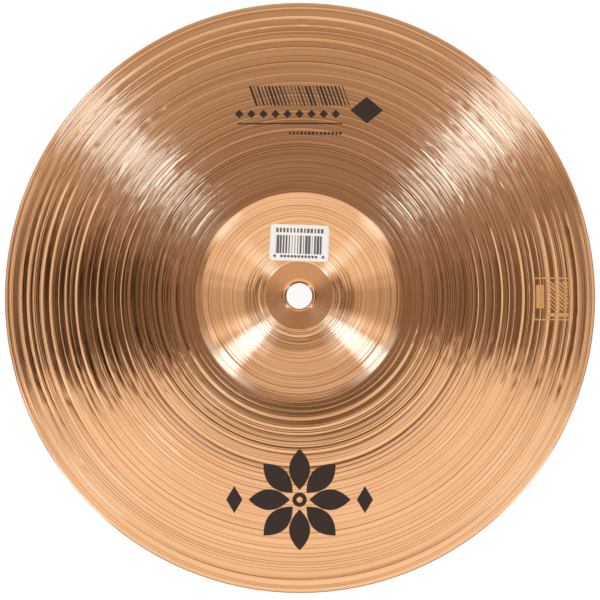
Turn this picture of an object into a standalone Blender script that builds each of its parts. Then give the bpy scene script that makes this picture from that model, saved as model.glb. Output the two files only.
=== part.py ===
"""A cymbal stack: a 12 inch bronze cymbal laid over a 10 inch one that nests inside it.

Both are lathed from sheet and share one centre hole for a stand's rod. They lie on a table
by their rims, with the pads round their holes face to face, and a paper stock label is
stuck on the bell of the top one. Metres, +Z up, the origin on the table at the centre.
"""

import math

import bmesh
import bpy

# The top cymbal, as the photograph shows it.
TOP_DIAMETER = 0.3048
TOP_HEIGHT = 0.0285
TOP_BOW_RISE = 0.0105
TOP_BELL_DIAMETER = 0.1012

# The bottom cymbal follows the top one's underside, and only its diameter is its own.
BOTTOM_DIAMETER = 0.254
PAD_SEAT_GAP = 0.0003
BOW_NEST_GAP = 0.0012
BELL_NEST_GAP = 0.0065

# What both cymbals share.
HOLE_DIAMETER = 0.013
PAD_DIAMETER = 0.034
BELL_THICKNESS = 0.0009
RIM_THICKNESS = 0.0006
HOLE_ROLL_WIDTH = 0.0022
HOLE_ROLL_DROP = 0.0004
BELL_FILLET = 0.0024
BOW_CURVE = 1.6

# The stock label on the top cymbal's bell.
LABEL_WIDTH = 0.0298
LABEL_HEIGHT = 0.0186
LABEL_THICKNESS = 0.00015
LABEL_SEAT_GAP = 0.0003
LABEL_PAD_MARGIN = 0.0006
LABEL_CORNER_RADIUS = 0.0016

# How finely the round shapes are cut into flat facets.
TURNED_STEPS = 96
ROLL_POINTS = 3
BELL_POINTS = 8
FOOT_POINTS = 4
BOW_POINTS = 8
RIM_POINTS = 5
FOOT_HALF_WIDTH = 0.003
SLOPE_STEP = 0.00001
LABEL_CELLS_ACROSS = 12
LABEL_CELLS_UP = 8
SHARP_EDGE = math.radians(30)


def soft_max(first, second, reach):
    """The larger of two heights, with a fillet where they come within reach of each other."""
    near = max(reach - abs(first - second), 0.0)
    return max(first, second) + near * near / (4 * reach)


class Cymbal:
    """The turned shape of one cymbal: a flat pad, a domed bell, and a bow that falls to the rim."""

    def __init__(self, diameter, height, bow_rise, bell_radius):
        self.rim_radius = diameter / 2
        self.height = height
        self.bow_rise = bow_rise
        self.bell_radius = bell_radius
        self.hole_radius = HOLE_DIAMETER / 2
        self.pad_radius = PAD_DIAMETER / 2
        # The bell is a cap of a sphere through the pad's edge and the foot of the bell.
        foot_height = RIM_THICKNESS + bow_rise
        drop = height - foot_height
        below = (bell_radius**2 - self.pad_radius**2 - drop**2) / (2 * drop)
        self.bell_centre = foot_height - below
        self.bell_sphere = math.hypot(bell_radius, below)

    def bow_height(self, radius):
        """The bow falls from the bell's foot to the rim, ever more steeply."""
        along = max(radius - self.bell_radius, 0.0) / (self.rim_radius - self.bell_radius)
        return RIM_THICKNESS + self.bow_rise * (1 - along**BOW_CURVE)

    def bell_height(self, radius):
        """The spherical cap of the bell, cut off flat at the pad."""
        cap = math.sqrt(max(self.bell_sphere**2 - radius**2, 0.0))
        return min(self.bell_centre + cap, self.height)

    def top_height(self, radius):
        """Height of the upper face, which rolls down a little at the hole's edge."""
        face = soft_max(self.bell_height(radius), self.bow_height(radius), BELL_FILLET)
        inside = max(1 - (radius - self.hole_radius) / HOLE_ROLL_WIDTH, 0.0)
        return face - HOLE_ROLL_DROP * inside**2

    def thickness(self, radius):
        """The wall thins evenly from the bell's foot to the rim."""
        along = max(radius - self.bell_radius, 0.0) / (self.rim_radius - self.bell_radius)
        return BELL_THICKNESS + (RIM_THICKNESS - BELL_THICKNESS) * along

    def under_height(self, radius):
        """Height of the lower face: flat under the pad, then a wall's thickness square to the surface."""
        wall = self.thickness(radius)
        if radius <= self.pad_radius:
            return self.height - wall
        rise = self.top_height(radius + SLOPE_STEP) - self.top_height(radius - SLOPE_STEP)
        slope = rise / (2 * SLOPE_STEP)
        return self.top_height(radius) - wall * math.hypot(1, slope)

    def stations(self):
        """The radii, from the hole outwards, at which the section has a point."""
        roll_end = self.hole_radius + HOLE_ROLL_WIDTH
        foot_start = self.bell_radius - FOOT_HALF_WIDTH
        foot_end = self.bell_radius + FOOT_HALF_WIDTH
        rim_start = self.rim_radius - RIM_THICKNESS / 2
        radii = spaced(self.hole_radius, roll_end, ROLL_POINTS)
        radii += spaced(self.pad_radius, foot_start, BELL_POINTS)
        radii += spaced(foot_start, foot_end, FOOT_POINTS)[1:]
        radii += spaced(foot_end, rim_start, BOW_POINTS)[1:-1]
        return radii

    def section(self):
        """The closed outline that is turned round the axis: upper face, half-round rim, lower face."""
        radii = self.stations()
        upper = [(radius, self.top_height(radius)) for radius in radii]
        lower = [(radius, self.under_height(radius)) for radius in reversed(radii)]
        half = RIM_THICKNESS / 2
        rim = []
        for angle in spaced(math.pi / 2, -math.pi / 2, RIM_POINTS):
            rim.append((self.rim_radius - half + half * math.cos(angle), half + half * math.sin(angle)))
        return upper + rim + lower


def spaced(start, end, count):
    """Evenly spaced values from start to end, both included."""
    return [start + (end - start) * i / (count - 1) for i in range(count)]


def clear_scene():
    for obj in list(bpy.data.objects):
        bpy.data.objects.remove(obj)


def new_material(name, colour, roughness, metallic):
    material = bpy.data.materials.new(name)
    material.use_nodes = True
    shader = material.node_tree.nodes["Principled BSDF"]
    shader.inputs["Base Color"].default_value = (*colour, 1.0)
    shader.inputs["Roughness"].default_value = roughness
    shader.inputs["Metallic"].default_value = metallic
    return material


def turned_solid(name, section, collection):
    """The closed section, drawn in the XZ plane, turned once round the Z axis."""
    outline = bpy.data.meshes.new(name + "_section")
    count = len(section)
    points = [(radius, 0.0, height) for radius, height in section]
    edges = [(i, (i + 1) % count) for i in range(count)]
    outline.from_pydata(points, edges, [])
    obj = bpy.data.objects.new(name, outline)
    collection.objects.link(obj)
    screw = obj.modifiers.new("turn", "SCREW")
    screw.axis = "Z"
    screw.angle = 2 * math.pi
    screw.steps = TURNED_STEPS
    screw.render_steps = TURNED_STEPS
    screw.use_merge_vertices = True
    screw.merge_threshold = 1e-5
    graph = bpy.context.evaluated_depsgraph_get()
    turned = bpy.data.meshes.new_from_object(obj.evaluated_get(graph))
    obj.modifiers.clear()
    obj.data = turned
    bpy.data.meshes.remove(outline)
    turned.name = name
    turned.shade_smooth()
    turned.set_sharp_from_angle(angle=SHARP_EDGE)
    return obj


def label_sheet(name, cymbal, collection):
    """A rounded paper rectangle that follows the bell beyond the pad, on the +Y side."""
    centre = cymbal.pad_radius + LABEL_PAD_MARGIN + LABEL_HEIGHT / 2
    shape = bmesh.new()
    bmesh.ops.create_grid(shape, x_segments=LABEL_CELLS_ACROSS, y_segments=LABEL_CELLS_UP, size=0.5)
    corner_cut = LABEL_CORNER_RADIUS * (1 - math.sqrt(0.5))
    for vertex in shape.verts:
        x = vertex.co.x * LABEL_WIDTH
        y = vertex.co.y * LABEL_HEIGHT
        if len(vertex.link_edges) == 2:
            x -= math.copysign(corner_cut, x)
            y -= math.copysign(corner_cut, y)
        y += centre
        vertex.co = (x, y, cymbal.top_height(math.hypot(x, y)) + LABEL_SEAT_GAP)
    mesh = bpy.data.meshes.new(name)
    shape.to_mesh(mesh)
    shape.free()
    mesh.shade_smooth()
    obj = bpy.data.objects.new(name, mesh)
    collection.objects.link(obj)
    paper = obj.modifiers.new("paper", "SOLIDIFY")
    paper.thickness = LABEL_THICKNESS
    paper.offset = 1.0
    return obj


def nested_cymbal(top):
    """The bottom cymbal, sized so that its pad, bow and bell keep their gaps under the top one."""
    bell_radius = top.bell_radius - BELL_NEST_GAP
    height = top.height - BELL_THICKNESS - PAD_SEAT_GAP
    # Its bow is set so that it passes under the foot of the top cymbal's bell.
    along = (top.bell_radius - bell_radius) / (BOTTOM_DIAMETER / 2 - bell_radius)
    passes_at = top.bow_height(top.bell_radius) - BELL_THICKNESS - BOW_NEST_GAP
    bow_rise = (passes_at - RIM_THICKNESS) / (1 - along**BOW_CURVE)
    return Cymbal(BOTTOM_DIAMETER, height, bow_rise, bell_radius)


def build():
    clear_scene()
    stack = bpy.data.collections.new("cymbal_stack")
    bpy.context.scene.collection.children.link(stack)
    bronze = new_material("cast_bronze", (0.86, 0.54, 0.33), 0.3, 1.0)
    paper = new_material("label_paper", (0.88, 0.87, 0.85), 0.6, 0.0)

    top = Cymbal(TOP_DIAMETER, TOP_HEIGHT, TOP_BOW_RISE, TOP_BELL_DIAMETER / 2)
    top_cymbal = turned_solid("top_cymbal", top.section(), stack)
    top_cymbal.data.materials.append(bronze)

    bottom = nested_cymbal(top)
    bottom_cymbal = turned_solid("bottom_cymbal", bottom.section(), stack)
    bottom_cymbal.data.materials.append(bronze)

    label = label_sheet("stock_label", top, stack)
    label.data.materials.append(paper)
    label.parent = top_cymbal


build()
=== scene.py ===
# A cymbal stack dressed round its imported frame: the finely lathed bronze of both cymbals,
# the prints, the paper stock label, and a pale studio seen from straight above.

import math

import bpy
import numpy as np
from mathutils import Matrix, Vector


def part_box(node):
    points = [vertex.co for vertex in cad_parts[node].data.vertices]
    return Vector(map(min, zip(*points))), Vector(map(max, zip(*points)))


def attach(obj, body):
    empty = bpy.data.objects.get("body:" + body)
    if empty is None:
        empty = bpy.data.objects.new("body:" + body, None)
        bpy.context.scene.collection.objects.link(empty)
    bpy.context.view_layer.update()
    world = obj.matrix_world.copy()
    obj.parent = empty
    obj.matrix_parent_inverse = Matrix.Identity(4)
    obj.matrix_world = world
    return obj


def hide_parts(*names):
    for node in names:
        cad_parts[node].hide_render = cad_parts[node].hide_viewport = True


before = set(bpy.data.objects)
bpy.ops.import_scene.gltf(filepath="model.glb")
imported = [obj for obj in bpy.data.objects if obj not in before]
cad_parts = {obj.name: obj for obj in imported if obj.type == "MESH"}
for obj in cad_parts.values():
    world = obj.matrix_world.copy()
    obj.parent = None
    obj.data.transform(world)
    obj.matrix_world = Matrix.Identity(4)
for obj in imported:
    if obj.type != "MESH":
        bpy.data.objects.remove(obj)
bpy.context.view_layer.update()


# BOTTOM CYMBAL
# The smaller cymbal of the pair, cast, pressed and lathed from sheet bronze. It lies hidden
# under the top one, which rests on its pad, and shows when the top one is lifted off.

MM = 0.001

HOLE_RADIUS = 6.5 * MM
PAD_RADIUS = 17.0 * MM
WALL_AT_BELL = 0.9 * MM
WALL_AT_RIM = 0.6 * MM
HOLE_ROLL_WIDTH = 2.2 * MM
HOLE_ROLL_DROP = 0.4 * MM
PAD_DISH = 1.0 * MM
BOW_CURVE = 1.6
SHOULDER_DROP = 0.15 * MM
SHOULDER_WIDTH = 2.5 * MM
SKIRT_SLOPE = 0.29
SKIRT_WIDTH = 3.2 * MM
SKIRT_FILLET = 0.8 * MM
CREASE_FILLET = 0.03 * MM

TOP_BELL_RADIUS = 50.6 * MM
TOP_BOW_RISE = 10.5 * MM
BELL_NEST_GAP = 6.5 * MM
BOW_NEST_GAP = 1.2 * MM

TURNS = 128
UPPER_SPACING = 0.25 * MM
UNDER_SPACING = 1.0 * MM
EDGE_POINTS = 9
PAD_POINTS = 12
RIM_POINTS = 9
CREASE_SPACING = 0.05 * MM
SLOPE_STEP = 0.01 * MM


def soft_max(first, second, reach):
    """The larger of two heights, with a fillet where they come within reach of each other."""
    near = np.maximum(reach - np.abs(first - second), 0)
    return np.maximum(first, second) + near**2 / (4 * reach)


class CymbalForm:
    """The plain turned form of one cymbal, before lathing: pad, domed bell and falling bow."""

    def __init__(self, node, bell_radius, bow_rise):
        low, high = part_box(node)
        self.rim_radius = high.x
        self.height = high.z
        self.bell_radius = bell_radius
        self.bow_rise = bow_rise

    def along_bow(self, radii):
        """How far out on the bow a radius lies: 0 at the bell's foot and 1 at the rim."""
        return np.clip((radii - self.bell_radius) / (self.rim_radius - self.bell_radius), 0, 1)

    def upper(self, radii):
        """Heights of the upper face.

        The bell is the cap of a sphere through the pad's edge and the bell's foot, cut flat
        at the pad, beside which it drops a little further by 1 minus an exponential: its
        shoulder. The bow falls from the foot by its rise times the distance along it to
        the power BOW_CURVE. A low cone, the skirt, leads from one to the other. The highest
        of the three counts, with fillets between them, the hole's edge rolls down with the
        square of the closeness to it, and the pad dishes evenly towards the hole.
        """
        foot = WALL_AT_RIM + self.bow_rise
        drop = self.height - foot
        below = (self.bell_radius**2 - PAD_RADIUS**2 - drop**2) / (2 * drop)
        sphere = math.hypot(self.bell_radius, below)
        bell = np.minimum(foot - below + np.sqrt(np.maximum(sphere**2 - radii**2, 0)), self.height)
        bell = bell - SHOULDER_DROP * (1 - np.exp(-np.maximum(radii - PAD_RADIUS, 0) / SHOULDER_WIDTH))
        skirt = foot + SKIRT_SLOPE * (self.bell_radius + SKIRT_WIDTH - radii)
        bow = foot - self.bow_rise * self.along_bow(radii) ** BOW_CURVE
        face = soft_max(soft_max(bell, skirt, SKIRT_FILLET), bow, CREASE_FILLET)
        roll = np.maximum(1 - (radii - HOLE_RADIUS) / HOLE_ROLL_WIDTH, 0)
        return face - HOLE_ROLL_DROP * roll**2 - self.dish(radii)

    def dish(self, radii):
        """How far the pad has sunk, evenly from nothing at its edge to PAD_DISH at the hole."""
        return PAD_DISH * np.clip((PAD_RADIUS - radii) / (PAD_RADIUS - HOLE_RADIUS), 0, 1)

    def lower(self, radii):
        """Heights of the lower face: a wall under the pad, then a wall square to the upper face."""
        wall = WALL_AT_BELL + (WALL_AT_RIM - WALL_AT_BELL) * self.along_bow(radii)
        slope = (self.upper(radii + SLOPE_STEP) - self.upper(radii - SLOPE_STEP)) / (2 * SLOPE_STEP)
        square = self.upper(radii) - wall * np.hypot(1, slope)
        return np.where(radii <= PAD_RADIUS, self.height - wall - self.dish(radii), square)


# Ranges of the seeded draws: shares of the land width, of its tilt and of the groove depth, and
# half widths of grooves. Lands that face outwards are then narrowed and the others widened.
LAND_WIDTHS = (0.45, 1.55)
LAND_TILTS = (0.3, 1)
GROOVE_DEPTHS = (0.25, 1.0)
GROOVE_HALF_WIDTHS = (0.28 * MM, 0.5 * MM)
OUTWARD_WIDTH = 0.8
INWARD_WIDTH = 1.2
MARK_STEP = 0.05 * MM
LAND_BLUR = 0.12
DRIFT_LANDS = 6


def lathe_marks(radii, start, end, land_width, land_tilt, inner_share, groove_depth, seed):
    """What a lathe's tool leaves between two radii: heights, and how deep in a groove each one lies.

    The face is split into lands of seeded widths, which tilt outwards and inwards in turn. A
    land's tilt is a seeded share of the land tilt, times the inner share at the start and
    growing evenly to the whole half way along. The tilts are blurred over LAND_BLUR of a land
    and summed along the radius, and the sum's mean over DRIFT_LANDS is taken away. Between two
    lands lies a groove of seeded width and depth, with the section (1 - u squared) squared, u
    being -1 to 1 across it.
    """
    draw = np.random.default_rng(seed)
    count = int(2.5 * (end - start) / land_width)
    in_turn = np.arange(count + 1) % 2
    widths = land_width * draw.uniform(*LAND_WIDTHS, count)
    widths *= OUTWARD_WIDTH + (INWARD_WIDTH - OUTWARD_WIDTH) * in_turn[1:]
    grooves = start + np.cumsum(widths)
    tilts = land_tilt * draw.uniform(*LAND_TILTS, count + 1) * (1 - 2 * in_turn)
    fine = np.arange(start, end, MARK_STEP)
    growth = inner_share + (1 - inner_share) * np.minimum(2 * (fine - start) / (end - start), 1)
    tilt = tilts[np.searchsorted(grooves, fine)] * growth
    blur = max(int(LAND_BLUR * land_width / MARK_STEP), 1)
    tilt = np.convolve(tilt, np.ones(blur) / blur, "same")
    ends = np.clip(np.minimum(fine - start, end - fine) / land_width, 0, 1)
    height = np.cumsum(tilt * ends) * MARK_STEP
    drift = int(DRIFT_LANDS * land_width / MARK_STEP)
    slow = np.convolve(np.pad(height, drift, "edge"), np.ones(drift) / drift, "same")[drift:-drift]
    land = np.interp(radii, fine, (height - slow) * ends, left=0, right=0)

    half_widths = draw.uniform(*GROOVE_HALF_WIDTHS, count)
    depths = draw.uniform(*GROOVE_DEPTHS, count)
    across = (radii[:, None] - grooves) / half_widths
    cut = (np.maximum(1 - across**2, 0) ** 2 * depths).max(axis=1)
    inside = (radii > start) & (radii < end)
    return land - groove_depth * cut * inside, cut * inside


UNDER_LAND = 3.2 * MM
UNDER_TILT = 0.04
UNDER_GROOVE_DEPTH = 0.02 * MM


def lathed_shell(name, form, upper_marks, seed):
    """A closed cymbal: its section, an outline of radii and heights, is turned round the Z axis.

    The outline runs from the hole out along the upper face, round the half circle of the
    rim, and back along the lower face. Every point of it is turned through TURNS equal
    angles, and neighbouring points and angles make the faces. Each point keeps, as the
    attribute groove, how deep in a groove it lies, and the trimmed rim counts as one:
    the bronze darkens the grooves by it as stain and painted shade, and the rim as
    painted shade.
    """
    half_wall = WALL_AT_RIM / 2
    outer = form.rim_radius - half_wall
    edge = np.linspace(HOLE_RADIUS, HOLE_RADIUS + HOLE_ROLL_WIDTH, EDGE_POINTS)
    # Rings of points close together keep the pad's edge crisp.
    pad = np.linspace(HOLE_RADIUS + HOLE_ROLL_WIDTH, PAD_RADIUS - 3 * CREASE_SPACING, PAD_POINTS)[1:]
    pad = np.append(pad, PAD_RADIUS - CREASE_SPACING)
    body = np.arange(PAD_RADIUS + CREASE_SPACING, outer, UPPER_SPACING)
    upper_radii = np.concatenate([edge, pad, body])
    marks, upper_cut = upper_marks(upper_radii)
    upper_heights = form.upper(upper_radii) + marks

    turn = np.linspace(math.pi / 2, -math.pi / 2, RIM_POINTS)
    rim_radii = outer + half_wall * np.cos(turn)
    rim_heights = half_wall + half_wall * np.sin(turn)

    under_radii = np.arange(outer - UNDER_SPACING, HOLE_RADIUS + UNDER_SPACING, -UNDER_SPACING)
    under_radii = np.append(under_radii, HOLE_RADIUS)
    marks, under_cut = lathe_marks(under_radii, PAD_RADIUS, outer, UNDER_LAND, UNDER_TILT, 1,
                                   UNDER_GROOVE_DEPTH, seed)
    under_heights = form.lower(under_radii) + marks

    radii = np.concatenate([upper_radii, rim_radii, under_radii])
    heights = np.concatenate([upper_heights, rim_heights, under_heights])
    cut = np.concatenate([upper_cut, np.ones(RIM_POINTS), under_cut])
    angles = np.arange(TURNS) * 2 * math.pi / TURNS
    points = np.empty((TURNS, len(radii), 3))
    points[..., 0] = np.cos(angles)[:, None] * radii
    points[..., 1] = np.sin(angles)[:, None] * radii
    points[..., 2] = heights
    turn_index, out_index = np.meshgrid(np.arange(TURNS), np.arange(len(radii)), indexing="ij")
    here = turn_index * len(radii)
    after = (turn_index + 1) % TURNS * len(radii)
    further = (out_index + 1) % len(radii)
    faces = np.stack([here + out_index, here + further, after + further, after + out_index], -1)

    mesh = bpy.data.meshes.new(name)
    mesh.from_pydata(points.reshape(-1, 3).tolist(), [], faces.reshape(-1, 4).tolist())
    mesh.shade_smooth()
    groove = mesh.attributes.new("groove", "FLOAT", "POINT")
    groove.data.foreach_set("value", np.tile(cut, TURNS).astype(np.float32))
    shell = bpy.data.objects.new(name, mesh)
    bpy.context.scene.collection.objects.link(shell)
    return shell


def reckon(tree, operation, *values):
    """A math node on the values, which are numbers or sockets; returns its result's socket."""
    node = tree.nodes.new("ShaderNodeMath")
    node.operation = operation
    for socket, value in zip(node.inputs, values):
        if isinstance(value, bpy.types.NodeSocket):
            tree.links.new(value, socket)
        else:
            socket.default_value = value
    return node.outputs[0]


def ramp(tree, value, low, high, from_value=0.0, to_value=1.0):
    """Changes smoothly from one value to another as the input goes from low to high."""
    node = tree.nodes.new("ShaderNodeMapRange")
    node.interpolation_type = "SMOOTHSTEP"
    tree.links.new(value, node.inputs["Value"])
    node.inputs["From Min"].default_value = low
    node.inputs["From Max"].default_value = high
    node.inputs["To Min"].default_value = from_value
    node.inputs["To Max"].default_value = to_value
    return node.outputs["Result"]


def mix_colours(tree, share, first, second):
    """The first colour where the share is 0 and the second where it is 1."""
    node = tree.nodes.new("ShaderNodeMix")
    node.data_type = "RGBA"
    for name, value in (("Factor", share), ("A", first), ("B", second)):
        socket = [s for s in node.inputs if s.name == name and s.enabled][0]
        if isinstance(value, bpy.types.NodeSocket):
            tree.links.new(value, socket)
        elif name == "Factor":
            socket.default_value = value
        else:
            socket.default_value = (*value, 1.0)
    return [s for s in node.outputs if s.enabled][0]


def radius_of(tree, x, y):
    """The distance from the origin of x and y."""
    squares = reckon(tree, "ADD", reckon(tree, "MULTIPLY", x, x), reckon(tree, "MULTIPLY", y, y))
    return reckon(tree, "SQRT", squares)


def turned_coordinates(tree):
    """Object coordinates in millimetres, with the radius and the angle round the Z axis."""
    place = tree.nodes.new("ShaderNodeTexCoord")
    split = tree.nodes.new("ShaderNodeSeparateXYZ")
    tree.links.new(place.outputs["Object"], split.inputs[0])
    x = reckon(tree, "DIVIDE", split.outputs["X"], MM)
    y = reckon(tree, "DIVIDE", split.outputs["Y"], MM)
    return x, y, radius_of(tree, x, y), reckon(tree, "ARCTAN2", y, x)


def ring_noise(tree, x, y, radius, rings_per_mm, round_detail, detail=2.0):
    """Noise drawn out along the rings: fast across them and slow, without a seam, round them."""
    joined = tree.nodes.new("ShaderNodeCombineXYZ")
    tree.links.new(reckon(tree, "MULTIPLY", radius, rings_per_mm), joined.inputs[0])
    across = reckon(tree, "MULTIPLY", reckon(tree, "DIVIDE", x, radius), round_detail)
    upward = reckon(tree, "MULTIPLY", reckon(tree, "DIVIDE", y, radius), round_detail)
    tree.links.new(across, joined.inputs[1])
    tree.links.new(upward, joined.inputs[2])
    noise = tree.nodes.new("ShaderNodeTexNoise")
    noise.inputs["Scale"].default_value = 1.0
    noise.inputs["Detail"].default_value = detail
    tree.links.new(joined.outputs[0], noise.inputs["Vector"])
    return noise.outputs["Fac"]


def leaning_normal(tree, x, y, radius, lean, sway):
    """The surface's normal, leaning out from the Z axis and swaying round it, both in radians."""
    out_x = reckon(tree, "DIVIDE", x, radius)
    out_y = reckon(tree, "DIVIDE", y, radius)
    lean_x = reckon(tree, "MULTIPLY", out_x, lean)
    lean_y = reckon(tree, "MULTIPLY", out_y, lean)
    shift_x = reckon(tree, "SUBTRACT", lean_x, reckon(tree, "MULTIPLY", out_y, sway))
    shift_y = reckon(tree, "ADD", lean_y, reckon(tree, "MULTIPLY", out_x, sway))
    shift = tree.nodes.new("ShaderNodeCombineXYZ")
    tree.links.new(shift_x, shift.inputs[0])
    tree.links.new(shift_y, shift.inputs[1])
    placed = tree.nodes.new("ShaderNodeVectorTransform")
    placed.vector_type = "VECTOR"
    placed.convert_from = "OBJECT"
    placed.convert_to = "WORLD"
    tree.links.new(shift.outputs[0], placed.inputs[0])
    surface = tree.nodes.new("ShaderNodeNewGeometry")
    total = tree.nodes.new("ShaderNodeVectorMath")
    tree.links.new(surface.outputs["Normal"], total.inputs[0])
    tree.links.new(placed.outputs[0], total.inputs[1])
    unit = tree.nodes.new("ShaderNodeVectorMath")
    unit.operation = "NORMALIZE"
    tree.links.new(total.outputs[0], unit.inputs[0])
    return unit.outputs[0]


# How much the start of each row turns per millimetre of its radius, in cells, how far in or out
# of its row a dimple may lie, in millimetres, and the half width of a dimple, in cells.
ROW_OFFSET = 0.37
ROW_SCATTER = 1.0
DIMPLE_HALF_WIDTH = 0.45


def hammer_marks(tree, radius, angle, rows):
    """Rows of shallow dimples: each cell of a row holds one, of its own depth and place.

    A row is given by its radius, the number of its dimples, and their half length along the
    radius. A dimple is the product of a smooth rise and fall across the cell and one along
    the radius, and its depth is a seeded number squared.
    """
    total = None
    for row_radius, count, half_length in rows:
        cell = reckon(tree, "MULTIPLY_ADD", angle, count / (2 * math.pi), row_radius * ROW_OFFSET)
        number = reckon(tree, "FLOOR", cell)
        inside = reckon(tree, "ABSOLUTE", reckon(tree, "SUBTRACT", reckon(tree, "FRACT", cell), 0.5))
        chance = tree.nodes.new("ShaderNodeTexWhiteNoise")
        chance.noise_dimensions = "1D"
        tree.links.new(reckon(tree, "ADD", number, row_radius), chance.inputs["W"])
        shifted = reckon(tree, "MULTIPLY_ADD", chance.outputs["Value"], 2 * ROW_SCATTER,
                         row_radius - ROW_SCATTER)
        away = reckon(tree, "ABSOLUTE", reckon(tree, "SUBTRACT", radius, shifted))
        across = ramp(tree, inside, DIMPLE_HALF_WIDTH, 0.0)
        along = ramp(tree, away, half_length, 0.0)
        depth = reckon(tree, "MULTIPLY", chance.outputs["Value"], chance.outputs["Value"])
        dimple = reckon(tree, "MULTIPLY", reckon(tree, "MULTIPLY", across, along), depth)
        total = dimple if total is None else reckon(tree, "ADD", total, dimple)
    return total


BRONZE_LIGHT = (0.80, 0.465, 0.243)
BRONZE_WARM = (0.735, 0.405, 0.205)
PAD_LIGHT = (0.75, 0.37, 0.165)
PAD_WARM = (0.715, 0.342, 0.149)
# The groove brown darkens the grooves, partly as stain and partly as painted shade, and the trimmed rim and
# the crease at the bell's foot as painted shade; the hole brown is painted shade round the hole's edge.
GROOVE_SHADE_AND_STAIN_BROWN = (0.30, 0.11, 0.036)
HOLE_SHADE_BROWN = (0.14, 0.07, 0.036)
BRONZE_SPECULAR = 0.25
GROOVE_SHADE_AND_STAIN = 0.9
LATHED_ANISOTROPY = 0.5
LATHED_ROUGHNESS = (0.075, 0.145)
STREAK_LEAN = 0.06
BELL_SWAY = 0.02
BOW_SWAY = 0.06
DIMPLE_DEPTH = 0.034
PAD_ROUGHNESS = (0.195, 0.235)
PAD_GRAIN = 0.0006
PAD_GRAIN_SCALE = 400.0
# Radii in millimetres: where the sway has its bell and its bow value, where the painted shade
# on the hole's edge ends, and between which two the burnished edge passes into the plain pad.
SWAY_RADII = (50, 66)
HOLE_SHADE_END = 7.8
BURNISHED_RADII = (8.2, 9.0)
# How far the pad is painted towards the hole brown at the hole's edge: painted shade.
HOLE_SHADE = 0.85
BURNISHED_SHARE = 0.45
# Noise drawn out along the rings: its rings per millimetre, and its detail round them.
TINT_NOISE = (0.35, 1.2)
STREAK_NOISE = (1.5, 1.6)
BEATEN_NOISE = (1.1, 11.0)
BAND_NOISE = (0.6, 1.0)


def bronze(name, lathed, mark_rows=()):
    """Lacquered bronze: lathed, with streaks drawn along its rings, or plain as on the pads."""
    material = bpy.data.materials.new(name)
    material.use_nodes = True
    tree = material.node_tree
    shader = tree.nodes["Principled BSDF"]
    shader.inputs["Metallic"].default_value = 1.0
    shader.inputs["Specular IOR Level"].default_value = BRONZE_SPECULAR
    x, y, radius, angle = turned_coordinates(tree)
    tint = ring_noise(tree, x, y, radius, *TINT_NOISE)
    colours = (BRONZE_LIGHT, BRONZE_WARM) if lathed else (PAD_LIGHT, PAD_WARM)
    colour = mix_colours(tree, ramp(tree, tint, 0.3, 0.7), *colours)
    bump = tree.nodes.new("ShaderNodeBump")
    bump.inputs["Strength"].default_value = 1.0
    bump.inputs["Distance"].default_value = MM
    if lathed:
        # Stain and painted shade: the grooves are darkened towards the groove brown, and the trimmed rim
        # and the crease at the bell's foot as painted shade.
        groove = tree.nodes.new("ShaderNodeAttribute")
        groove.attribute_name = "groove"
        shade_and_stain = reckon(tree, "MULTIPLY", groove.outputs["Fac"], GROOVE_SHADE_AND_STAIN)
        colour = mix_colours(tree, shade_and_stain, colour, GROOVE_SHADE_AND_STAIN_BROWN)
        shader.inputs["Anisotropic"].default_value = LATHED_ANISOTROPY
        tangent = tree.nodes.new("ShaderNodeTangent")
        tangent.direction_type = "RADIAL"
        tangent.axis = "Z"
        tree.links.new(tangent.outputs[0], shader.inputs["Tangent"])
        # A quarter turn lays the highlight across the rings.
        shader.inputs["Anisotropic Rotation"].default_value = 0.25
        streaks = ring_noise(tree, x, y, radius, *STREAK_NOISE, detail=1.0)
        lean = reckon(tree, "MULTIPLY_ADD", streaks, STREAK_LEAN, -STREAK_LEAN / 2)
        # The hammering turns each ring's face a little to and fro round the axis, less on the bell.
        beaten = ring_noise(tree, x, y, radius, *BEATEN_NOISE, detail=1.0)
        beaten = reckon(tree, "SUBTRACT", beaten, 0.5)
        sway = reckon(tree, "MULTIPLY", beaten, ramp(tree, radius, *SWAY_RADII, BELL_SWAY, BOW_SWAY))
        tree.links.new(leaning_normal(tree, x, y, radius, lean, sway), bump.inputs["Normal"])
        bands = ring_noise(tree, x, y, radius, *BAND_NOISE)
        rough = ramp(tree, bands, 0.35, 0.65, *LATHED_ROUGHNESS)
        tree.links.new(rough, shader.inputs["Roughness"])
        height = reckon(tree, "MULTIPLY", hammer_marks(tree, radius, angle, mark_rows), -DIMPLE_DEPTH)
        tree.links.new(height, bump.inputs["Height"])
    else:
        # Painted shade: a brown ring darkens the pad towards the hole's edge.
        edge_shade = ramp(tree, radius, HOLE_SHADE_END, HOLE_RADIUS / MM, 0.0, HOLE_SHADE)
        colour = mix_colours(tree, edge_shade, colour, HOLE_SHADE_BROWN)
        grain = tree.nodes.new("ShaderNodeTexNoise")
        grain.inputs["Scale"].default_value = PAD_GRAIN_SCALE
        place = tree.nodes.new("ShaderNodeTexCoord")
        tree.links.new(place.outputs["Object"], grain.inputs["Vector"])
        rough = ramp(tree, grain.outputs["Fac"], 0.3, 0.7, *PAD_ROUGHNESS)
        # The hole's rolled edge is burnished, much smoother than the rest of the pad.
        burnished = ramp(tree, radius, *BURNISHED_RADII, BURNISHED_SHARE, 1.0)
        tree.links.new(reckon(tree, "MULTIPLY", rough, burnished), shader.inputs["Roughness"])
        tree.links.new(reckon(tree, "MULTIPLY", grain.outputs["Fac"], PAD_GRAIN), bump.inputs["Height"])
    tree.links.new(colour, shader.inputs["Base Color"])
    tree.links.new(bump.outputs[0], shader.inputs["Normal"])
    return material


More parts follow.
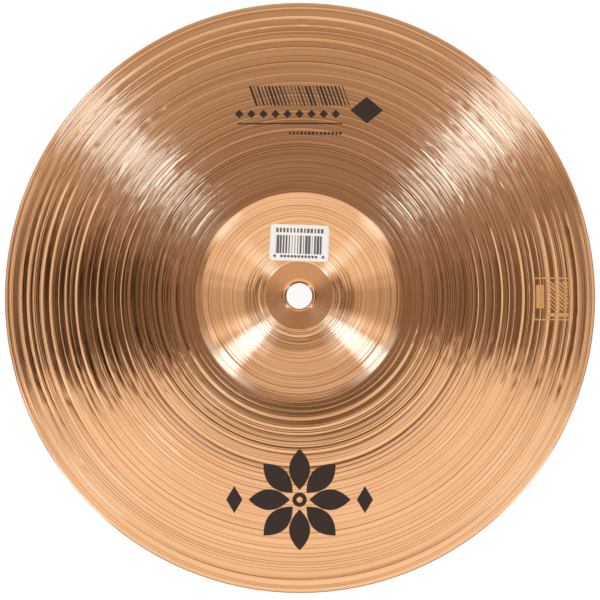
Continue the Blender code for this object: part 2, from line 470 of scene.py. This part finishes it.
def finish_in_bronze(shell, lathed, plain):
    """The lathed bronze all over, and the plain one on the faces of the pad."""
    shell.data.materials.append(lathed)
    shell.data.materials.append(plain)
    count = len(shell.data.polygons)
    centres = np.empty(count * 3)
    shell.data.polygons.foreach_get("center", centres)
    centres = centres.reshape(-1, 3)
    on_pad = np.hypot(centres[:, 0], centres[:, 1]) < PAD_RADIUS
    shell.data.polygons.foreach_set("material_index", on_pad.astype(np.int32))


BELL_LAND = 1.1 * MM
BELL_TILT = 0.085
BELL_INNER_SHARE = 0.4
# The share at which the bell's grooves are darkened, as stain and painted shade.
BELL_SHADE_AND_STAIN = 0.8
BOW_LAND = 1.75 * MM
BOW_TILT = 0.066
BOW_INNER_SHARE = 0.35
GROOVE_DEPTH = 0.035 * MM
# Painted shade: how dark, and how wide, the line painted along the crease at the bell's foot is.
FOOT_SHADE = 0.9
FOOT_SHADE_WIDTH = 0.45 * MM


def cymbal_marks(form, radii, seed):
    """The lathe's marks on the bell and, with steeper lands, on the bow: heights and groove depth.

    The crease at the bell's foot is darkened like a groove, by a bell curve across it: painted shade.
    """
    crease = form.bell_radius + SKIRT_WIDTH
    bell = lathe_marks(radii, PAD_RADIUS, form.bell_radius, BELL_LAND, BELL_TILT, BELL_INNER_SHARE,
                       GROOVE_DEPTH, seed)
    bow = lathe_marks(radii, crease, form.rim_radius, BOW_LAND, BOW_TILT, BOW_INNER_SHARE,
                      GROOVE_DEPTH, seed + 1)
    foot = FOOT_SHADE * np.exp(-(((radii - crease) / FOOT_SHADE_WIDTH) ** 2))
    return bell[0] + bow[0], np.maximum(BELL_SHADE_AND_STAIN * bell[1] + bow[1], foot)


bottom_bell_radius = TOP_BELL_RADIUS - BELL_NEST_GAP
bottom_rim_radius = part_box("bottom_cymbal")[1].x
foot_share = BELL_NEST_GAP / (bottom_rim_radius - bottom_bell_radius)
bottom_bow_rise = (TOP_BOW_RISE - WALL_AT_BELL - BOW_NEST_GAP) / (1 - foot_share**BOW_CURVE)
bottom_form = CymbalForm("bottom_cymbal", bottom_bell_radius, bottom_bow_rise)


BOTTOM_UPPER_SEED = 11
BOTTOM_UNDER_SEED = 13


def bottom_marks(radii):
    """The marks on the bottom cymbal's upper face."""
    return cymbal_marks(bottom_form, radii, BOTTOM_UPPER_SEED)


# Each row of hammer marks: its radius in millimetres, its number of marks, their half length.
BOTTOM_HAMMER_ROWS = ((86, 54, 2.6), (100, 64, 2.4), (112, 74, 2.2))

plain_bronze = bronze("plain_bronze", lathed=False)
bottom_bronze = bronze("bottom_bronze", lathed=True, mark_rows=BOTTOM_HAMMER_ROWS)
bottom_cymbal = lathed_shell("bottom_cymbal_lathed", bottom_form, bottom_marks, BOTTOM_UNDER_SEED)
finish_in_bronze(bottom_cymbal, bottom_bronze, plain_bronze)
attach(bottom_cymbal, "bottom_cymbal")
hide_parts("bottom_cymbal")


# TOP CYMBAL
# The larger cymbal, of the same lathed bronze, whose hammer marks show in rows under the
# grooves of its bow. It rests on the bottom one's pad and carries the prints and the label.

top_form = CymbalForm("top_cymbal", TOP_BELL_RADIUS, TOP_BOW_RISE)
TOP_UPPER_SEED = 21
TOP_UNDER_SEED = 23


def top_marks(radii):
    """The marks on the top cymbal's upper face."""
    return cymbal_marks(top_form, radii, TOP_UPPER_SEED)


TOP_HAMMER_ROWS = ((103, 62, 2.6), (119, 78, 2.4), (129.5, 84, 2.4), (141, 90, 2.2))

top_bronze = bronze("top_bronze", lathed=True, mark_rows=TOP_HAMMER_ROWS)
top_cymbal = lathed_shell("top_cymbal_lathed", top_form, top_marks, TOP_UNDER_SEED)
finish_in_bronze(top_cymbal, top_bronze, plain_bronze)
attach(top_cymbal, "top_cymbal")
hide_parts("top_cymbal")


# PRINTS
# Plain ornaments screen-printed on the top cymbal's lathed face in dark ink, and a small
# amber stamp near its rim. The ink is thin, so the grooves still show through it.

# Sizes in this section are in millimetres.
PRINT_EDGE = 0.12
INK_BROWN = (0.034, 0.017, 0.010)
BROWN_ROUGHNESS = 0.42
INK_AMBER = (0.70, 0.32, 0.07)
AMBER_ROUGHNESS = 0.40
AMBER_COVER = 0.62


def band(tree, value, middle, half_width):
    """1 within the half width of the middle, with a soft edge."""
    away = reckon(tree, "ABSOLUTE", reckon(tree, "SUBTRACT", value, middle))
    return ramp(tree, away, half_width + PRINT_EDGE, half_width - PRINT_EDGE)


def both(tree, *masks):
    """The product of the masks."""
    product = masks[0]
    for mask in masks[1:]:
        product = reckon(tree, "MULTIPLY", product, mask)
    return product


def either(tree, *masks):
    """The largest of the masks."""
    largest = masks[0]
    for mask in masks[1:]:
        largest = reckon(tree, "MAXIMUM", largest, mask)
    return largest


def rectangle(tree, x, y, middle_x, middle_y, half_width, half_height):
    """A filled rectangle round its middle."""
    return both(tree, band(tree, x, middle_x, half_width), band(tree, y, middle_y, half_height))


def repeated(tree, x, pitch):
    """How far along x it is from the middle of the nearest cell, the cells being a pitch wide."""
    cell = reckon(tree, "DIVIDE", x, pitch)
    cell = reckon(tree, "SUBTRACT", cell, reckon(tree, "ROUND", cell))
    return reckon(tree, "MULTIPLY", cell, pitch)


def diamond(tree, x, y, half_width, half_height):
    """A filled diamond round the origin of x and y."""
    spread = reckon(tree, "DIVIDE", reckon(tree, "ABSOLUTE", x), half_width)
    rise = reckon(tree, "DIVIDE", reckon(tree, "ABSOLUTE", y), half_height)
    soft = PRINT_EDGE / min(half_width, half_height)
    return ramp(tree, reckon(tree, "ADD", spread, rise), 1 + soft, 1 - soft)


def bar_row(tree, x, pitch, least, most):
    """Upright bars, one to each pitch, of seeded widths between two shares of the pitch."""
    cell = reckon(tree, "DIVIDE", x, pitch)
    chance = tree.nodes.new("ShaderNodeTexWhiteNoise")
    chance.noise_dimensions = "1D"
    tree.links.new(reckon(tree, "FLOOR", cell), chance.inputs["W"])
    share = reckon(tree, "MULTIPLY_ADD", chance.outputs["Value"], (most - least) / 2, least / 2)
    inside = reckon(tree, "ABSOLUTE", reckon(tree, "SUBTRACT", reckon(tree, "FRACT", cell), 0.5))
    soft = PRINT_EDGE / pitch
    return ramp(tree, reckon(tree, "SUBTRACT", inside, share), soft, -soft)


def rosette(tree, x, y, petals, reach, half_length, half_width):
    """A ring of pointed oval petals whose middles lie at the reach from the origin of x and y.

    A petal is as wide, at a place along it, as its width times 1 - t squared, t being -1 to
    1 along it.
    """
    radius = radius_of(tree, x, y)
    turns = reckon(tree, "MULTIPLY", reckon(tree, "ARCTAN2", y, x), petals / (2 * math.pi))
    offset = reckon(tree, "SUBTRACT", turns, reckon(tree, "ROUND", turns))
    angle = reckon(tree, "MULTIPLY", offset, 2 * math.pi / petals)
    along = reckon(tree, "SUBTRACT", reckon(tree, "MULTIPLY", radius, reckon(tree, "COSINE", angle)), reach)
    across = reckon(tree, "ABSOLUTE", reckon(tree, "MULTIPLY", radius, reckon(tree, "SINE", angle)))
    taper = reckon(tree, "DIVIDE", along, half_length)
    bulge = reckon(tree, "SUBTRACT", 1.0, reckon(tree, "MULTIPLY", taper, taper))
    edge = reckon(tree, "MULTIPLY", bulge, half_width)
    return ramp(tree, reckon(tree, "SUBTRACT", across, edge), PRINT_EDGE, -PRINT_EDGE)


def lay_ink(material, mask, colour, roughness, cover):
    """Lays ink over what the material's shader already has, where the mask is 1, on the upper face."""
    tree = material.node_tree
    shader = tree.nodes["Principled BSDF"]
    face = tree.nodes.new("ShaderNodeTexCoord")
    upward = tree.nodes.new("ShaderNodeSeparateXYZ")
    tree.links.new(face.outputs["Normal"], upward.inputs[0])
    on_top = reckon(tree, "GREATER_THAN", upward.outputs["Z"], 0.0)
    share = reckon(tree, "MULTIPLY", reckon(tree, "MULTIPLY", mask, on_top), cover)
    under = shader.inputs["Base Color"].links[0].from_socket
    tree.links.new(mix_colours(tree, share, under, colour), shader.inputs["Base Color"])
    bare = reckon(tree, "SUBTRACT", 1.0, share)
    metal = shader.inputs["Metallic"]
    if metal.links:
        tree.links.new(reckon(tree, "MULTIPLY", metal.links[0].from_socket, bare), metal)
    else:
        tree.links.new(bare, metal)
    smooth = shader.inputs["Roughness"].links[0].from_socket
    inked = reckon(tree, "MULTIPLY", share, roughness)
    rough = reckon(tree, "ADD", reckon(tree, "MULTIPLY", smooth, bare), inked)
    tree.links.new(rough, shader.inputs["Roughness"])


print_tree = top_bronze.node_tree
print_x, print_y = turned_coordinates(print_tree)[:2]


def moved(value, middle):
    """A coordinate counted from the middle of a print."""
    return reckon(print_tree, "SUBTRACT", value, middle)


# The upper print: slanted bars over a line of diamonds and a thin rule, a large diamond at
# their right, and a row of short dashes below. A shape's four numbers are the x and y of its
# middle, half its width and half its height. A row's shares are those of the pitch that its
# narrowest and its widest bar take up.
BARS = (0.0, 103.5, 24.7, 5.2)
BARS_PITCH = 1.9
BARS_SHARES = (0.25, 0.75)
BARS_SLANT = 0.35
DIAMONDS_Y = 94.0
DIAMOND_PITCH = 6.2
DIAMOND_COUNT = 9
DIAMOND_HALF_SIZE = (2.3, 2.3)
LARGE_DIAMOND = (34.5, 96.0, 8.5, 7.0)
RULE = (-5.0, 89.0, 27.0, 0.4)
DASHES = (8.0, 84.0, 14.0, 0.8)
DASHES_PITCH = 2.0
DASHES_SHARES = (0.5, 0.8)

slanted = reckon(print_tree, "MULTIPLY_ADD", moved(print_y, BARS[1]), BARS_SLANT, print_x)
bars = both(print_tree, bar_row(print_tree, slanted, BARS_PITCH, *BARS_SHARES),
            rectangle(print_tree, slanted, print_y, *BARS))
diamond_x = repeated(print_tree, print_x, DIAMOND_PITCH)
diamonds = both(print_tree, diamond(print_tree, diamond_x, moved(print_y, DIAMONDS_Y), *DIAMOND_HALF_SIZE),
                band(print_tree, print_x, -DIAMOND_PITCH, DIAMOND_COUNT / 2 * DIAMOND_PITCH))
rule = rectangle(print_tree, print_x, print_y, *RULE)
dashes = both(print_tree, bar_row(print_tree, print_x, DASHES_PITCH, *DASHES_SHARES),
              rectangle(print_tree, print_x, print_y, *DASHES))
large_x = moved(print_x, LARGE_DIAMOND[0])
large_y = moved(print_y, LARGE_DIAMOND[1])
large_diamond = diamond(print_tree, large_x, large_y, *LARGE_DIAMOND[2:])
upper_print = either(print_tree, bars, diamonds, rule, dashes, large_diamond)

# The lower print: a rosette round a ring, between two diamonds.
ROSETTE_Y = -104.0
PETALS = 8
PETAL_REACH = 15.6
PETAL_HALF_SIZE = (10.6, 5.4)
RING_RADIUS = 2.6
RING_HALF_WIDTH = 1.1
SIDE_DIAMOND_REACH = 33.5
SIDE_DIAMOND_HALF_SIZE = (4.2, 7.0)

rosette_y = moved(print_y, ROSETTE_Y)
petals = rosette(print_tree, print_x, rosette_y, PETALS, PETAL_REACH, *PETAL_HALF_SIZE)
ring = band(print_tree, radius_of(print_tree, print_x, rosette_y), RING_RADIUS, RING_HALF_WIDTH)
aside = reckon(print_tree, "SUBTRACT", reckon(print_tree, "ABSOLUTE", print_x), SIDE_DIAMOND_REACH)
side_diamonds = diamond(print_tree, aside, rosette_y, *SIDE_DIAMOND_HALF_SIZE)
brown_print = either(print_tree, upper_print, petals, ring, side_diamonds)
lay_ink(top_bronze, brown_print, INK_BROWN, BROWN_ROUGHNESS, 1.0)

# The amber stamp: a solid block beside a hatched one, in a frame, over a solid bar.
STAMP_X = 130.5
STAMP_Y = -1.0
BLOCK = (-6.8, 1.2, 2.0, 6.0)
HATCH = (2.2, 1.4, 5.6, 7.4)
HATCH_PITCH = 2.1
HATCH_SHARES = (0.35, 0.7)
BORDER_OUTSIDE = (0.0, 0.0, 10.2, 11.0)
BORDER_INSIDE = (0.0, 0.0, 9.5, 10.3)
BAR = (2.2, -8.2, 5.6, 1.0)

stamp_x = moved(print_x, STAMP_X)
stamp_y = moved(print_y, STAMP_Y)
diagonal = reckon(print_tree, "ADD", stamp_x, stamp_y)
block = rectangle(print_tree, stamp_x, stamp_y, *BLOCK)
hatch = both(print_tree, bar_row(print_tree, diagonal, HATCH_PITCH, *HATCH_SHARES),
             rectangle(print_tree, stamp_x, stamp_y, *HATCH))
outside = rectangle(print_tree, stamp_x, stamp_y, *BORDER_OUTSIDE)
border = reckon(print_tree, "SUBTRACT", outside, rectangle(print_tree, stamp_x, stamp_y, *BORDER_INSIDE))
bar = rectangle(print_tree, stamp_x, stamp_y, *BAR)
lay_ink(top_bronze, either(print_tree, block, hatch, border, bar), INK_AMBER, AMBER_ROUGHNESS, AMBER_COVER)


# STOCK LABEL
# A small white paper label stuck on the top cymbal's bell beside the pad, not quite straight,
# printed in black with a block of bars between a row of dashes and a row of dots.

label_low, label_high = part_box("stock_label")
label_middle = (label_low.y + label_high.y) / 2
LABEL_HALF_WIDTH = (label_high.x - label_low.x) / 2
LABEL_HALF_HEIGHT = (label_high.y - label_low.y) / 2
LABEL_TILT = math.radians(-2.0)
LABEL_CORNER = 1.6 * MM
LABEL_PAPER = 0.15 * MM
LABEL_GLUE = 0.07 * MM
LABEL_CURL = 0.12 * MM
CURL_POWER = 8
LABEL_CELLS = (48, 34)


def label_surface():
    """The label's sheet, on a grid of u, in even steps from -1 to 1, and v, the sine of such steps.

    y is v times the half height and x is u times the half width, less what the quarter
    circles of the corners take off at that y. Both are turned by the label's tilt. The
    height is the bell's, more the glue, more a curl that grows with u times v to the power
    CURL_POWER.
    """
    across = np.linspace(-1, 1, LABEL_CELLS[0] + 1)
    upward = np.linspace(-1, 1, LABEL_CELLS[1] + 1)
    u, v = np.meshgrid(across, upward)
    v = np.sin(v * math.pi / 2)
    y = v * LABEL_HALF_HEIGHT
    into_corner = np.maximum(np.abs(y) - (LABEL_HALF_HEIGHT - LABEL_CORNER), 0)
    corner = np.sqrt(np.maximum(LABEL_CORNER**2 - into_corner**2, 0))
    x = u * (LABEL_HALF_WIDTH - LABEL_CORNER + corner)
    turned_x = x * math.cos(LABEL_TILT) - y * math.sin(LABEL_TILT)
    turned_y = x * math.sin(LABEL_TILT) + y * math.cos(LABEL_TILT) + label_middle
    z = top_form.upper(np.hypot(turned_x, turned_y)) + LABEL_GLUE + LABEL_CURL * np.abs(u * v) ** CURL_POWER
    return np.stack([turned_x, turned_y, z], -1)


def grid_faces(rows, columns):
    """The quads between neighbouring points of a grid of points."""
    row, column = np.meshgrid(np.arange(rows - 1), np.arange(columns - 1), indexing="ij")
    here = row * columns + column
    return np.stack([here, here + 1, here + columns + 1, here + columns], -1).reshape(-1, 4)


label_points = label_surface()
label_mesh = bpy.data.meshes.new("printed_label")
label_faces = grid_faces(*label_points.shape[:2])
label_mesh.from_pydata(label_points.reshape(-1, 3).tolist(), [], label_faces.tolist())
label_mesh.shade_smooth()
label = bpy.data.objects.new("printed_label", label_mesh)
bpy.context.scene.collection.objects.link(label)
sheet = label.modifiers.new("paper", "SOLIDIFY")
sheet.thickness = LABEL_PAPER
sheet.offset = 1.0

PAPER_WHITE = (0.93, 0.85, 0.75)
PAPER_SHADE = (0.89, 0.81, 0.71)
PAPER_ROUGHNESS = (0.5, 0.62)
FIBRE_SCALE = 2200.0
FIBRE_DEPTH = 0.01 * MM
LABEL_INK = (0.030, 0.026, 0.024)
LABEL_INK_COVER = 0.92
# Sizes of the print, in millimetres from the label's middle.
LABEL_BARS = (-0.1, -0.9, 11.9, 4.7)
LABEL_BARS_PITCH = 1.45
LABEL_BARS_SHARES = (0.2, 1.0)
LABEL_DASHES = (0.0, 6.4, 12.3, 1.15)
LABEL_DASHES_PITCH = 1.75
LABEL_DASHES_SHARES = (0.45, 0.8)
DOTS_Y = -7.0
DOT_PITCH = 1.75
DOT_RADII = (0.85, 0.6)

label_paper = bpy.data.materials.new("label_paper_printed")
label_paper.use_nodes = True
paper_tree = label_paper.node_tree
paper_shader = paper_tree.nodes["Principled BSDF"]
paper_x, paper_y = turned_coordinates(paper_tree)[:2]
paper_y = reckon(paper_tree, "SUBTRACT", paper_y, label_middle / MM)
# Coordinates along the tilted label's own width and height, from its middle.
tilt_cosine = math.cos(LABEL_TILT)
tilt_sine = math.sin(LABEL_TILT)
straight_x = reckon(paper_tree, "MULTIPLY", paper_x, tilt_cosine)
straight_y = reckon(paper_tree, "MULTIPLY", paper_y, tilt_cosine)
label_x = reckon(paper_tree, "MULTIPLY_ADD", paper_y, tilt_sine, straight_x)
label_y = reckon(paper_tree, "MULTIPLY_ADD", paper_x, -tilt_sine, straight_y)

fibres = paper_tree.nodes.new("ShaderNodeTexNoise")
fibres.inputs["Scale"].default_value = FIBRE_SCALE
fibres.inputs["Detail"].default_value = 3.0
paper_place = paper_tree.nodes.new("ShaderNodeTexCoord")
paper_tree.links.new(paper_place.outputs["Object"], fibres.inputs["Vector"])
cloudy = ramp(paper_tree, fibres.outputs["Fac"], 0.3, 0.7)
paper_colour = mix_colours(paper_tree, cloudy, PAPER_WHITE, PAPER_SHADE)

label_bars = both(paper_tree, bar_row(paper_tree, label_x, LABEL_BARS_PITCH, *LABEL_BARS_SHARES),
                  rectangle(paper_tree, label_x, label_y, *LABEL_BARS))
label_dashes = both(paper_tree, bar_row(paper_tree, label_x, LABEL_DASHES_PITCH, *LABEL_DASHES_SHARES),
                    rectangle(paper_tree, label_x, label_y, *LABEL_DASHES))
# Eleven dots in the middle, and one by itself at each end, two pitches off.
dot_x = repeated(paper_tree, label_x, DOT_PITCH)
dot_y = reckon(paper_tree, "SUBTRACT", label_y, DOTS_Y)
single_dots = band(paper_tree, reckon(paper_tree, "ABSOLUTE", label_x), 7 * DOT_PITCH, DOT_PITCH / 2)
dot_places = either(paper_tree, band(paper_tree, label_x, 0.0, 5.5 * DOT_PITCH), single_dots)
dots = both(paper_tree, ramp(paper_tree, radius_of(paper_tree, dot_x, dot_y), *DOT_RADII), dot_places)
label_print = either(paper_tree, label_bars, label_dashes, dots)
label_print = reckon(paper_tree, "MULTIPLY", label_print, LABEL_INK_COVER)
printed_colour = mix_colours(paper_tree, label_print, paper_colour, LABEL_INK)
paper_tree.links.new(printed_colour, paper_shader.inputs["Base Color"])

paper_rough = ramp(paper_tree, fibres.outputs["Fac"], 0.3, 0.7, *PAPER_ROUGHNESS)
paper_tree.links.new(paper_rough, paper_shader.inputs["Roughness"])
paper_bump = paper_tree.nodes.new("ShaderNodeBump")
paper_bump.inputs["Strength"].default_value = 1.0
paper_bump.inputs["Distance"].default_value = FIBRE_DEPTH
paper_tree.links.new(fibres.outputs["Fac"], paper_bump.inputs["Height"])
paper_tree.links.new(paper_bump.outputs[0], paper_shader.inputs["Normal"])
label_mesh.materials.append(label_paper)
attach(label, "top_cymbal")
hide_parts("stock_label")


# FLOOR
# A pale sweep under the stack, white to the camera and in the metal, that takes its shadow.
# It is seen from above only, so that the underside can be looked at through it.

FLOOR_HALF = 4.0
FLOOR_Z = -0.1 * MM
# What camera, mirror and clear rays see is a dark paint that glows; the rest see a pale paint.
SEEN_GREY = 0.1
SEEN_GLOW = 0.93
LIT_GREY = 0.8

floor_mesh = bpy.data.meshes.new("floor")
floor_corners = [(-FLOOR_HALF, -FLOOR_HALF, FLOOR_Z), (FLOOR_HALF, -FLOOR_HALF, FLOOR_Z),
                 (FLOOR_HALF, FLOOR_HALF, FLOOR_Z), (-FLOOR_HALF, FLOOR_HALF, FLOOR_Z)]
floor_mesh.from_pydata(floor_corners, [], [(0, 1, 2, 3)])
floor = bpy.data.objects.new("floor", floor_mesh)
bpy.context.scene.collection.objects.link(floor)

floor_paint = bpy.data.materials.new("floor_paint")
floor_paint.use_nodes = True
paint_tree = floor_paint.node_tree
paint_tree.nodes.remove(paint_tree.nodes["Principled BSDF"])
paint_output = paint_tree.nodes["Material Output"]
ray = paint_tree.nodes.new("ShaderNodeLightPath")
seen = either(paint_tree, ray.outputs["Is Camera Ray"], ray.outputs["Is Glossy Ray"],
              ray.outputs["Is Transmission Ray"])
matt = paint_tree.nodes.new("ShaderNodeBsdfDiffuse")
matt.inputs["Color"].default_value = (SEEN_GREY, SEEN_GREY, SEEN_GREY, 1.0)
pale = paint_tree.nodes.new("ShaderNodeBsdfDiffuse")
pale.inputs["Color"].default_value = (LIT_GREY, LIT_GREY, LIT_GREY, 1.0)
white = paint_tree.nodes.new("ShaderNodeEmission")
white.inputs["Strength"].default_value = SEEN_GLOW
shown = paint_tree.nodes.new("ShaderNodeAddShader")
paint_tree.links.new(matt.outputs[0], shown.inputs[0])
paint_tree.links.new(white.outputs[0], shown.inputs[1])
by_ray = paint_tree.nodes.new("ShaderNodeMixShader")
paint_tree.links.new(seen, by_ray.inputs[0])
paint_tree.links.new(pale.outputs[0], by_ray.inputs[1])
paint_tree.links.new(shown.outputs[0], by_ray.inputs[2])
clear = paint_tree.nodes.new("ShaderNodeBsdfTransparent")
facing = paint_tree.nodes.new("ShaderNodeNewGeometry")
one_sided = paint_tree.nodes.new("ShaderNodeMixShader")
paint_tree.links.new(facing.outputs["Backfacing"], one_sided.inputs[0])
paint_tree.links.new(by_ray.outputs[0], one_sided.inputs[1])
paint_tree.links.new(clear.outputs[0], one_sided.inputs[2])
paint_tree.links.new(one_sided.outputs[0], paint_output.inputs["Surface"])
floor_mesh.materials.append(floor_paint)


# STUDIO LIGHT
# Soft boxes hung round the stack, drawn on the world by the direction from which their
# light comes: an azimuth, counted from +X towards +Y, and a zenith angle down from +Z.

LIGHT_LEVEL = 1.1
CEILING = 0.20
DARKEST = 0.01
# Near the horizon and below it the world is an even white.
HORIZON = 0.9
HORIZON_ZENITHS = (88, 90)
# Where the light is dim it is also warm: green and blue fall off faster than red below full light.
FULL_LIGHT = 1.2
GREEN_LOSS = 0.20
BLUE_LOSS = 0.36
# Each soft box: its middle azimuth, half width and side softness, the zenith angles at which it
# starts, is full, is still full and has ended, and its strength. A black flag's is negative.
SOFT_BOXES = (
    (274.0, 71.0, 6.0, 6.5, 10.8, 15, 19, 0.89),
    (270.5, 74.5, 6.5, 15, 19, 30, 32.5, 0.90),
    (270.5, 70.0, 9.0, 31.5, 36, 41, 44, 0.33),
    (270.5, 70.0, 9.0, 41, 44, 80, 88, 0.64),
    (90, 60, 8.0, 30, 33, 36, 40, 0.86),
    (90, 77, 8.0, 36, 40, 90, 92, 0.86),
    (90, 70, 8.0, 2, 6, 30, 33, 0.18),
    (90, 60, 8.0, 12.5, 22, 30, 33, 0.20),
    (176, 24, 4.0, 23.4, 25.9, 30.5, 33, 0.84),
    (187, 19, 4.0, 31, 33, 36, 46, 0.12),
    (187, 19, 4.0, 35, 47, 82, 90, 0.54),
    (3, 17, 4.0, 21.5, 23, 29.5, 31.5, 0.85),
    (353, 19, 4.0, 31, 33, 40, 48, 0.07),
    (353, 19, 4.0, 36, 50, 80, 90, 0.44),
    (180, 26, 5.0, 2, 5, 8.5, 12, 0.10),
    (180, 25, 5.0, 9, 15, 21, 23, -0.09),
    (194, 7, 2.5, 9, 14, 21, 23, -0.09),
    (171, 5, 3.0, 10, 15, 21, 23, -0.07),
    (0, 22, 5.0, 2, 5, 10, 14, 0.09),
    (1, 18, 5.0, 12, 16, 20, 22, -0.04),
)
# The bare strip lamps between them, in the same terms, and their cooler colour.
STRIP_LAMPS = (
    (45.0, 5.0, 2.5, 6, 15, 31, 35, 1.05),
    (137.5, 5.0, 2.5, 6, 14, 16.5, 21, 1.05),
    (137.5, 5.0, 2.5, 16.5, 21, 31, 35, 0.80),
    (46, 8, 4.0, 29, 32, 40, 44, 0.33),
    (134, 8, 4.0, 29, 32, 40, 44, 0.33),
    (45, 5, 3.5, 38, 42, 70, 76, 0.20),
    (137, 5, 3.5, 38, 42, 70, 76, 0.20),
    (220.5, 6.0, 4.5, 30.5, 36.5, 76, 80, 1.60),
    (321.5, 6.0, 4.5, 30.5, 36.5, 76, 80, 1.40),
    (220, 17, 9.0, 27, 33, 52, 62, 0.30),
    (322, 17, 9.0, 27, 33, 52, 62, 0.30),
    (220.5, 4.0, 3.0, 4, 8, 13, 18, 0.22),
    (321.5, 4.0, 3.0, 4, 8, 13, 18, 0.10),
)
LAMP_COLOUR = (0.74, 1.28, 2.2)
# A louvre dims the strip lamps at even steps of the zenith angle.
LOUVRE_PITCH = 6.5
LOUVRE_DEPTH = 1.0

world = bpy.data.worlds.new("studio")
bpy.context.scene.world = world
world.use_nodes = True
sky = world.node_tree
toward = sky.nodes.new("ShaderNodeTexCoord")
height_of = sky.nodes.new("ShaderNodeSeparateXYZ")
sky.links.new(toward.outputs["Generated"], height_of.inputs[0])
level = sky.nodes.new("ShaderNodeVectorMath")
level.operation = "MULTIPLY"
level.inputs[1].default_value = (1.0, 1.0, 0.0)
sky.links.new(toward.outputs["Generated"], level.inputs[0])
bearing = sky.nodes.new("ShaderNodeVectorMath")
bearing.operation = "NORMALIZE"
sky.links.new(level.outputs[0], bearing.inputs[0])
zenith = reckon(sky, "DEGREES", reckon(sky, "ARCCOSINE", height_of.outputs["Z"]))


def soft_box(azimuth, half_width, softness, start, full, still_full, end, strength):
    """The light of one soft box in the direction looked at, fading out at its edges."""
    aim = sky.nodes.new("ShaderNodeVectorMath")
    aim.operation = "DOT_PRODUCT"
    aim.inputs[1].default_value = (math.cos(math.radians(azimuth)), math.sin(math.radians(azimuth)), 0.0)
    sky.links.new(bearing.outputs[0], aim.inputs[0])
    outside = math.cos(math.radians(half_width + softness))
    inside = math.cos(math.radians(half_width - softness))
    sideways = ramp(sky, aim.outputs["Value"], outside, inside)
    starting = ramp(sky, zenith, start, full)
    ending = ramp(sky, zenith, still_full, end, 1.0, 0.0)
    window = reckon(sky, "MULTIPLY", starting, ending)
    return reckon(sky, "MULTIPLY", reckon(sky, "MULTIPLY", window, sideways), strength)


def total_light(boxes):
    """The sum of the light of several soft boxes."""
    total = soft_box(*boxes[0])
    for values in boxes[1:]:
        total = reckon(sky, "ADD", total, soft_box(*values))
    return total


light = reckon(sky, "MAXIMUM", reckon(sky, "ADD", total_light(SOFT_BOXES), CEILING), DARKEST)
near_horizon = ramp(sky, zenith, *HORIZON_ZENITHS)
share_of_full = reckon(sky, "DIVIDE", light, FULL_LIGHT)
louvre = reckon(sky, "SINE", reckon(sky, "MULTIPLY", zenith, 2 * math.pi / LOUVRE_PITCH))
louvre = reckon(sky, "MULTIPLY_ADD", louvre, LOUVRE_DEPTH, 1.0)
lamps = reckon(sky, "MULTIPLY", total_light(STRIP_LAMPS), louvre)
sky_colour = sky.nodes.new("ShaderNodeCombineColor")
for channel, loss in enumerate((0.0, GREEN_LOSS, BLUE_LOSS)):
    warmed = reckon(sky, "MULTIPLY", light, reckon(sky, "POWER", share_of_full, loss))
    total = reckon(sky, "MULTIPLY_ADD", lamps, LAMP_COLOUR[channel], warmed)
    to_white = reckon(sky, "MULTIPLY", near_horizon, reckon(sky, "SUBTRACT", HORIZON, total))
    sky.links.new(reckon(sky, "ADD", total, to_white), sky_colour.inputs[channel])
sky.links.new(sky_colour.outputs[0], sky.nodes["Background"].inputs["Color"])
sky.nodes["Background"].inputs["Strength"].default_value = LIGHT_LEVEL


# CAMERA
# It hangs high over the stack and looks down, leaning a little towards the viewer's side,
# with the disc as large in the frame as in the photograph.

LENS = 150.0
SENSOR = 36.0
FRAME_PIXELS = 600
DISC_PIXELS = 590.2
DISC_CENTRE_PIXEL = (299.7, 297.2)
LEAN_FORWARD = math.radians(1.25)
LEAN_SIDEWAYS = math.radians(0.45)

pixel = 2 * top_form.rim_radius / DISC_PIXELS
distance = FRAME_PIXELS * pixel * LENS / SENSOR
target_x = (FRAME_PIXELS / 2 - DISC_CENTRE_PIXEL[0]) * pixel
target_y = (DISC_CENTRE_PIXEL[1] - FRAME_PIXELS / 2) * pixel
camera_data = bpy.data.cameras.new("camera")
camera_data.lens = LENS
camera_data.sensor_width = SENSOR
camera_data.clip_end = 50.0
camera = bpy.data.objects.new("camera", camera_data)
bpy.context.scene.collection.objects.link(camera)
camera_x = target_x + distance * math.sin(LEAN_SIDEWAYS)
camera_y = target_y - distance * math.sin(LEAN_FORWARD)
camera.location = (camera_x, camera_y, distance * math.cos(LEAN_FORWARD))
camera.rotation_euler = (LEAN_FORWARD, LEAN_SIDEWAYS, 0.0)
bpy.context.scene.camera = camera

bpy.context.scene.view_settings.view_transform = "Standard"
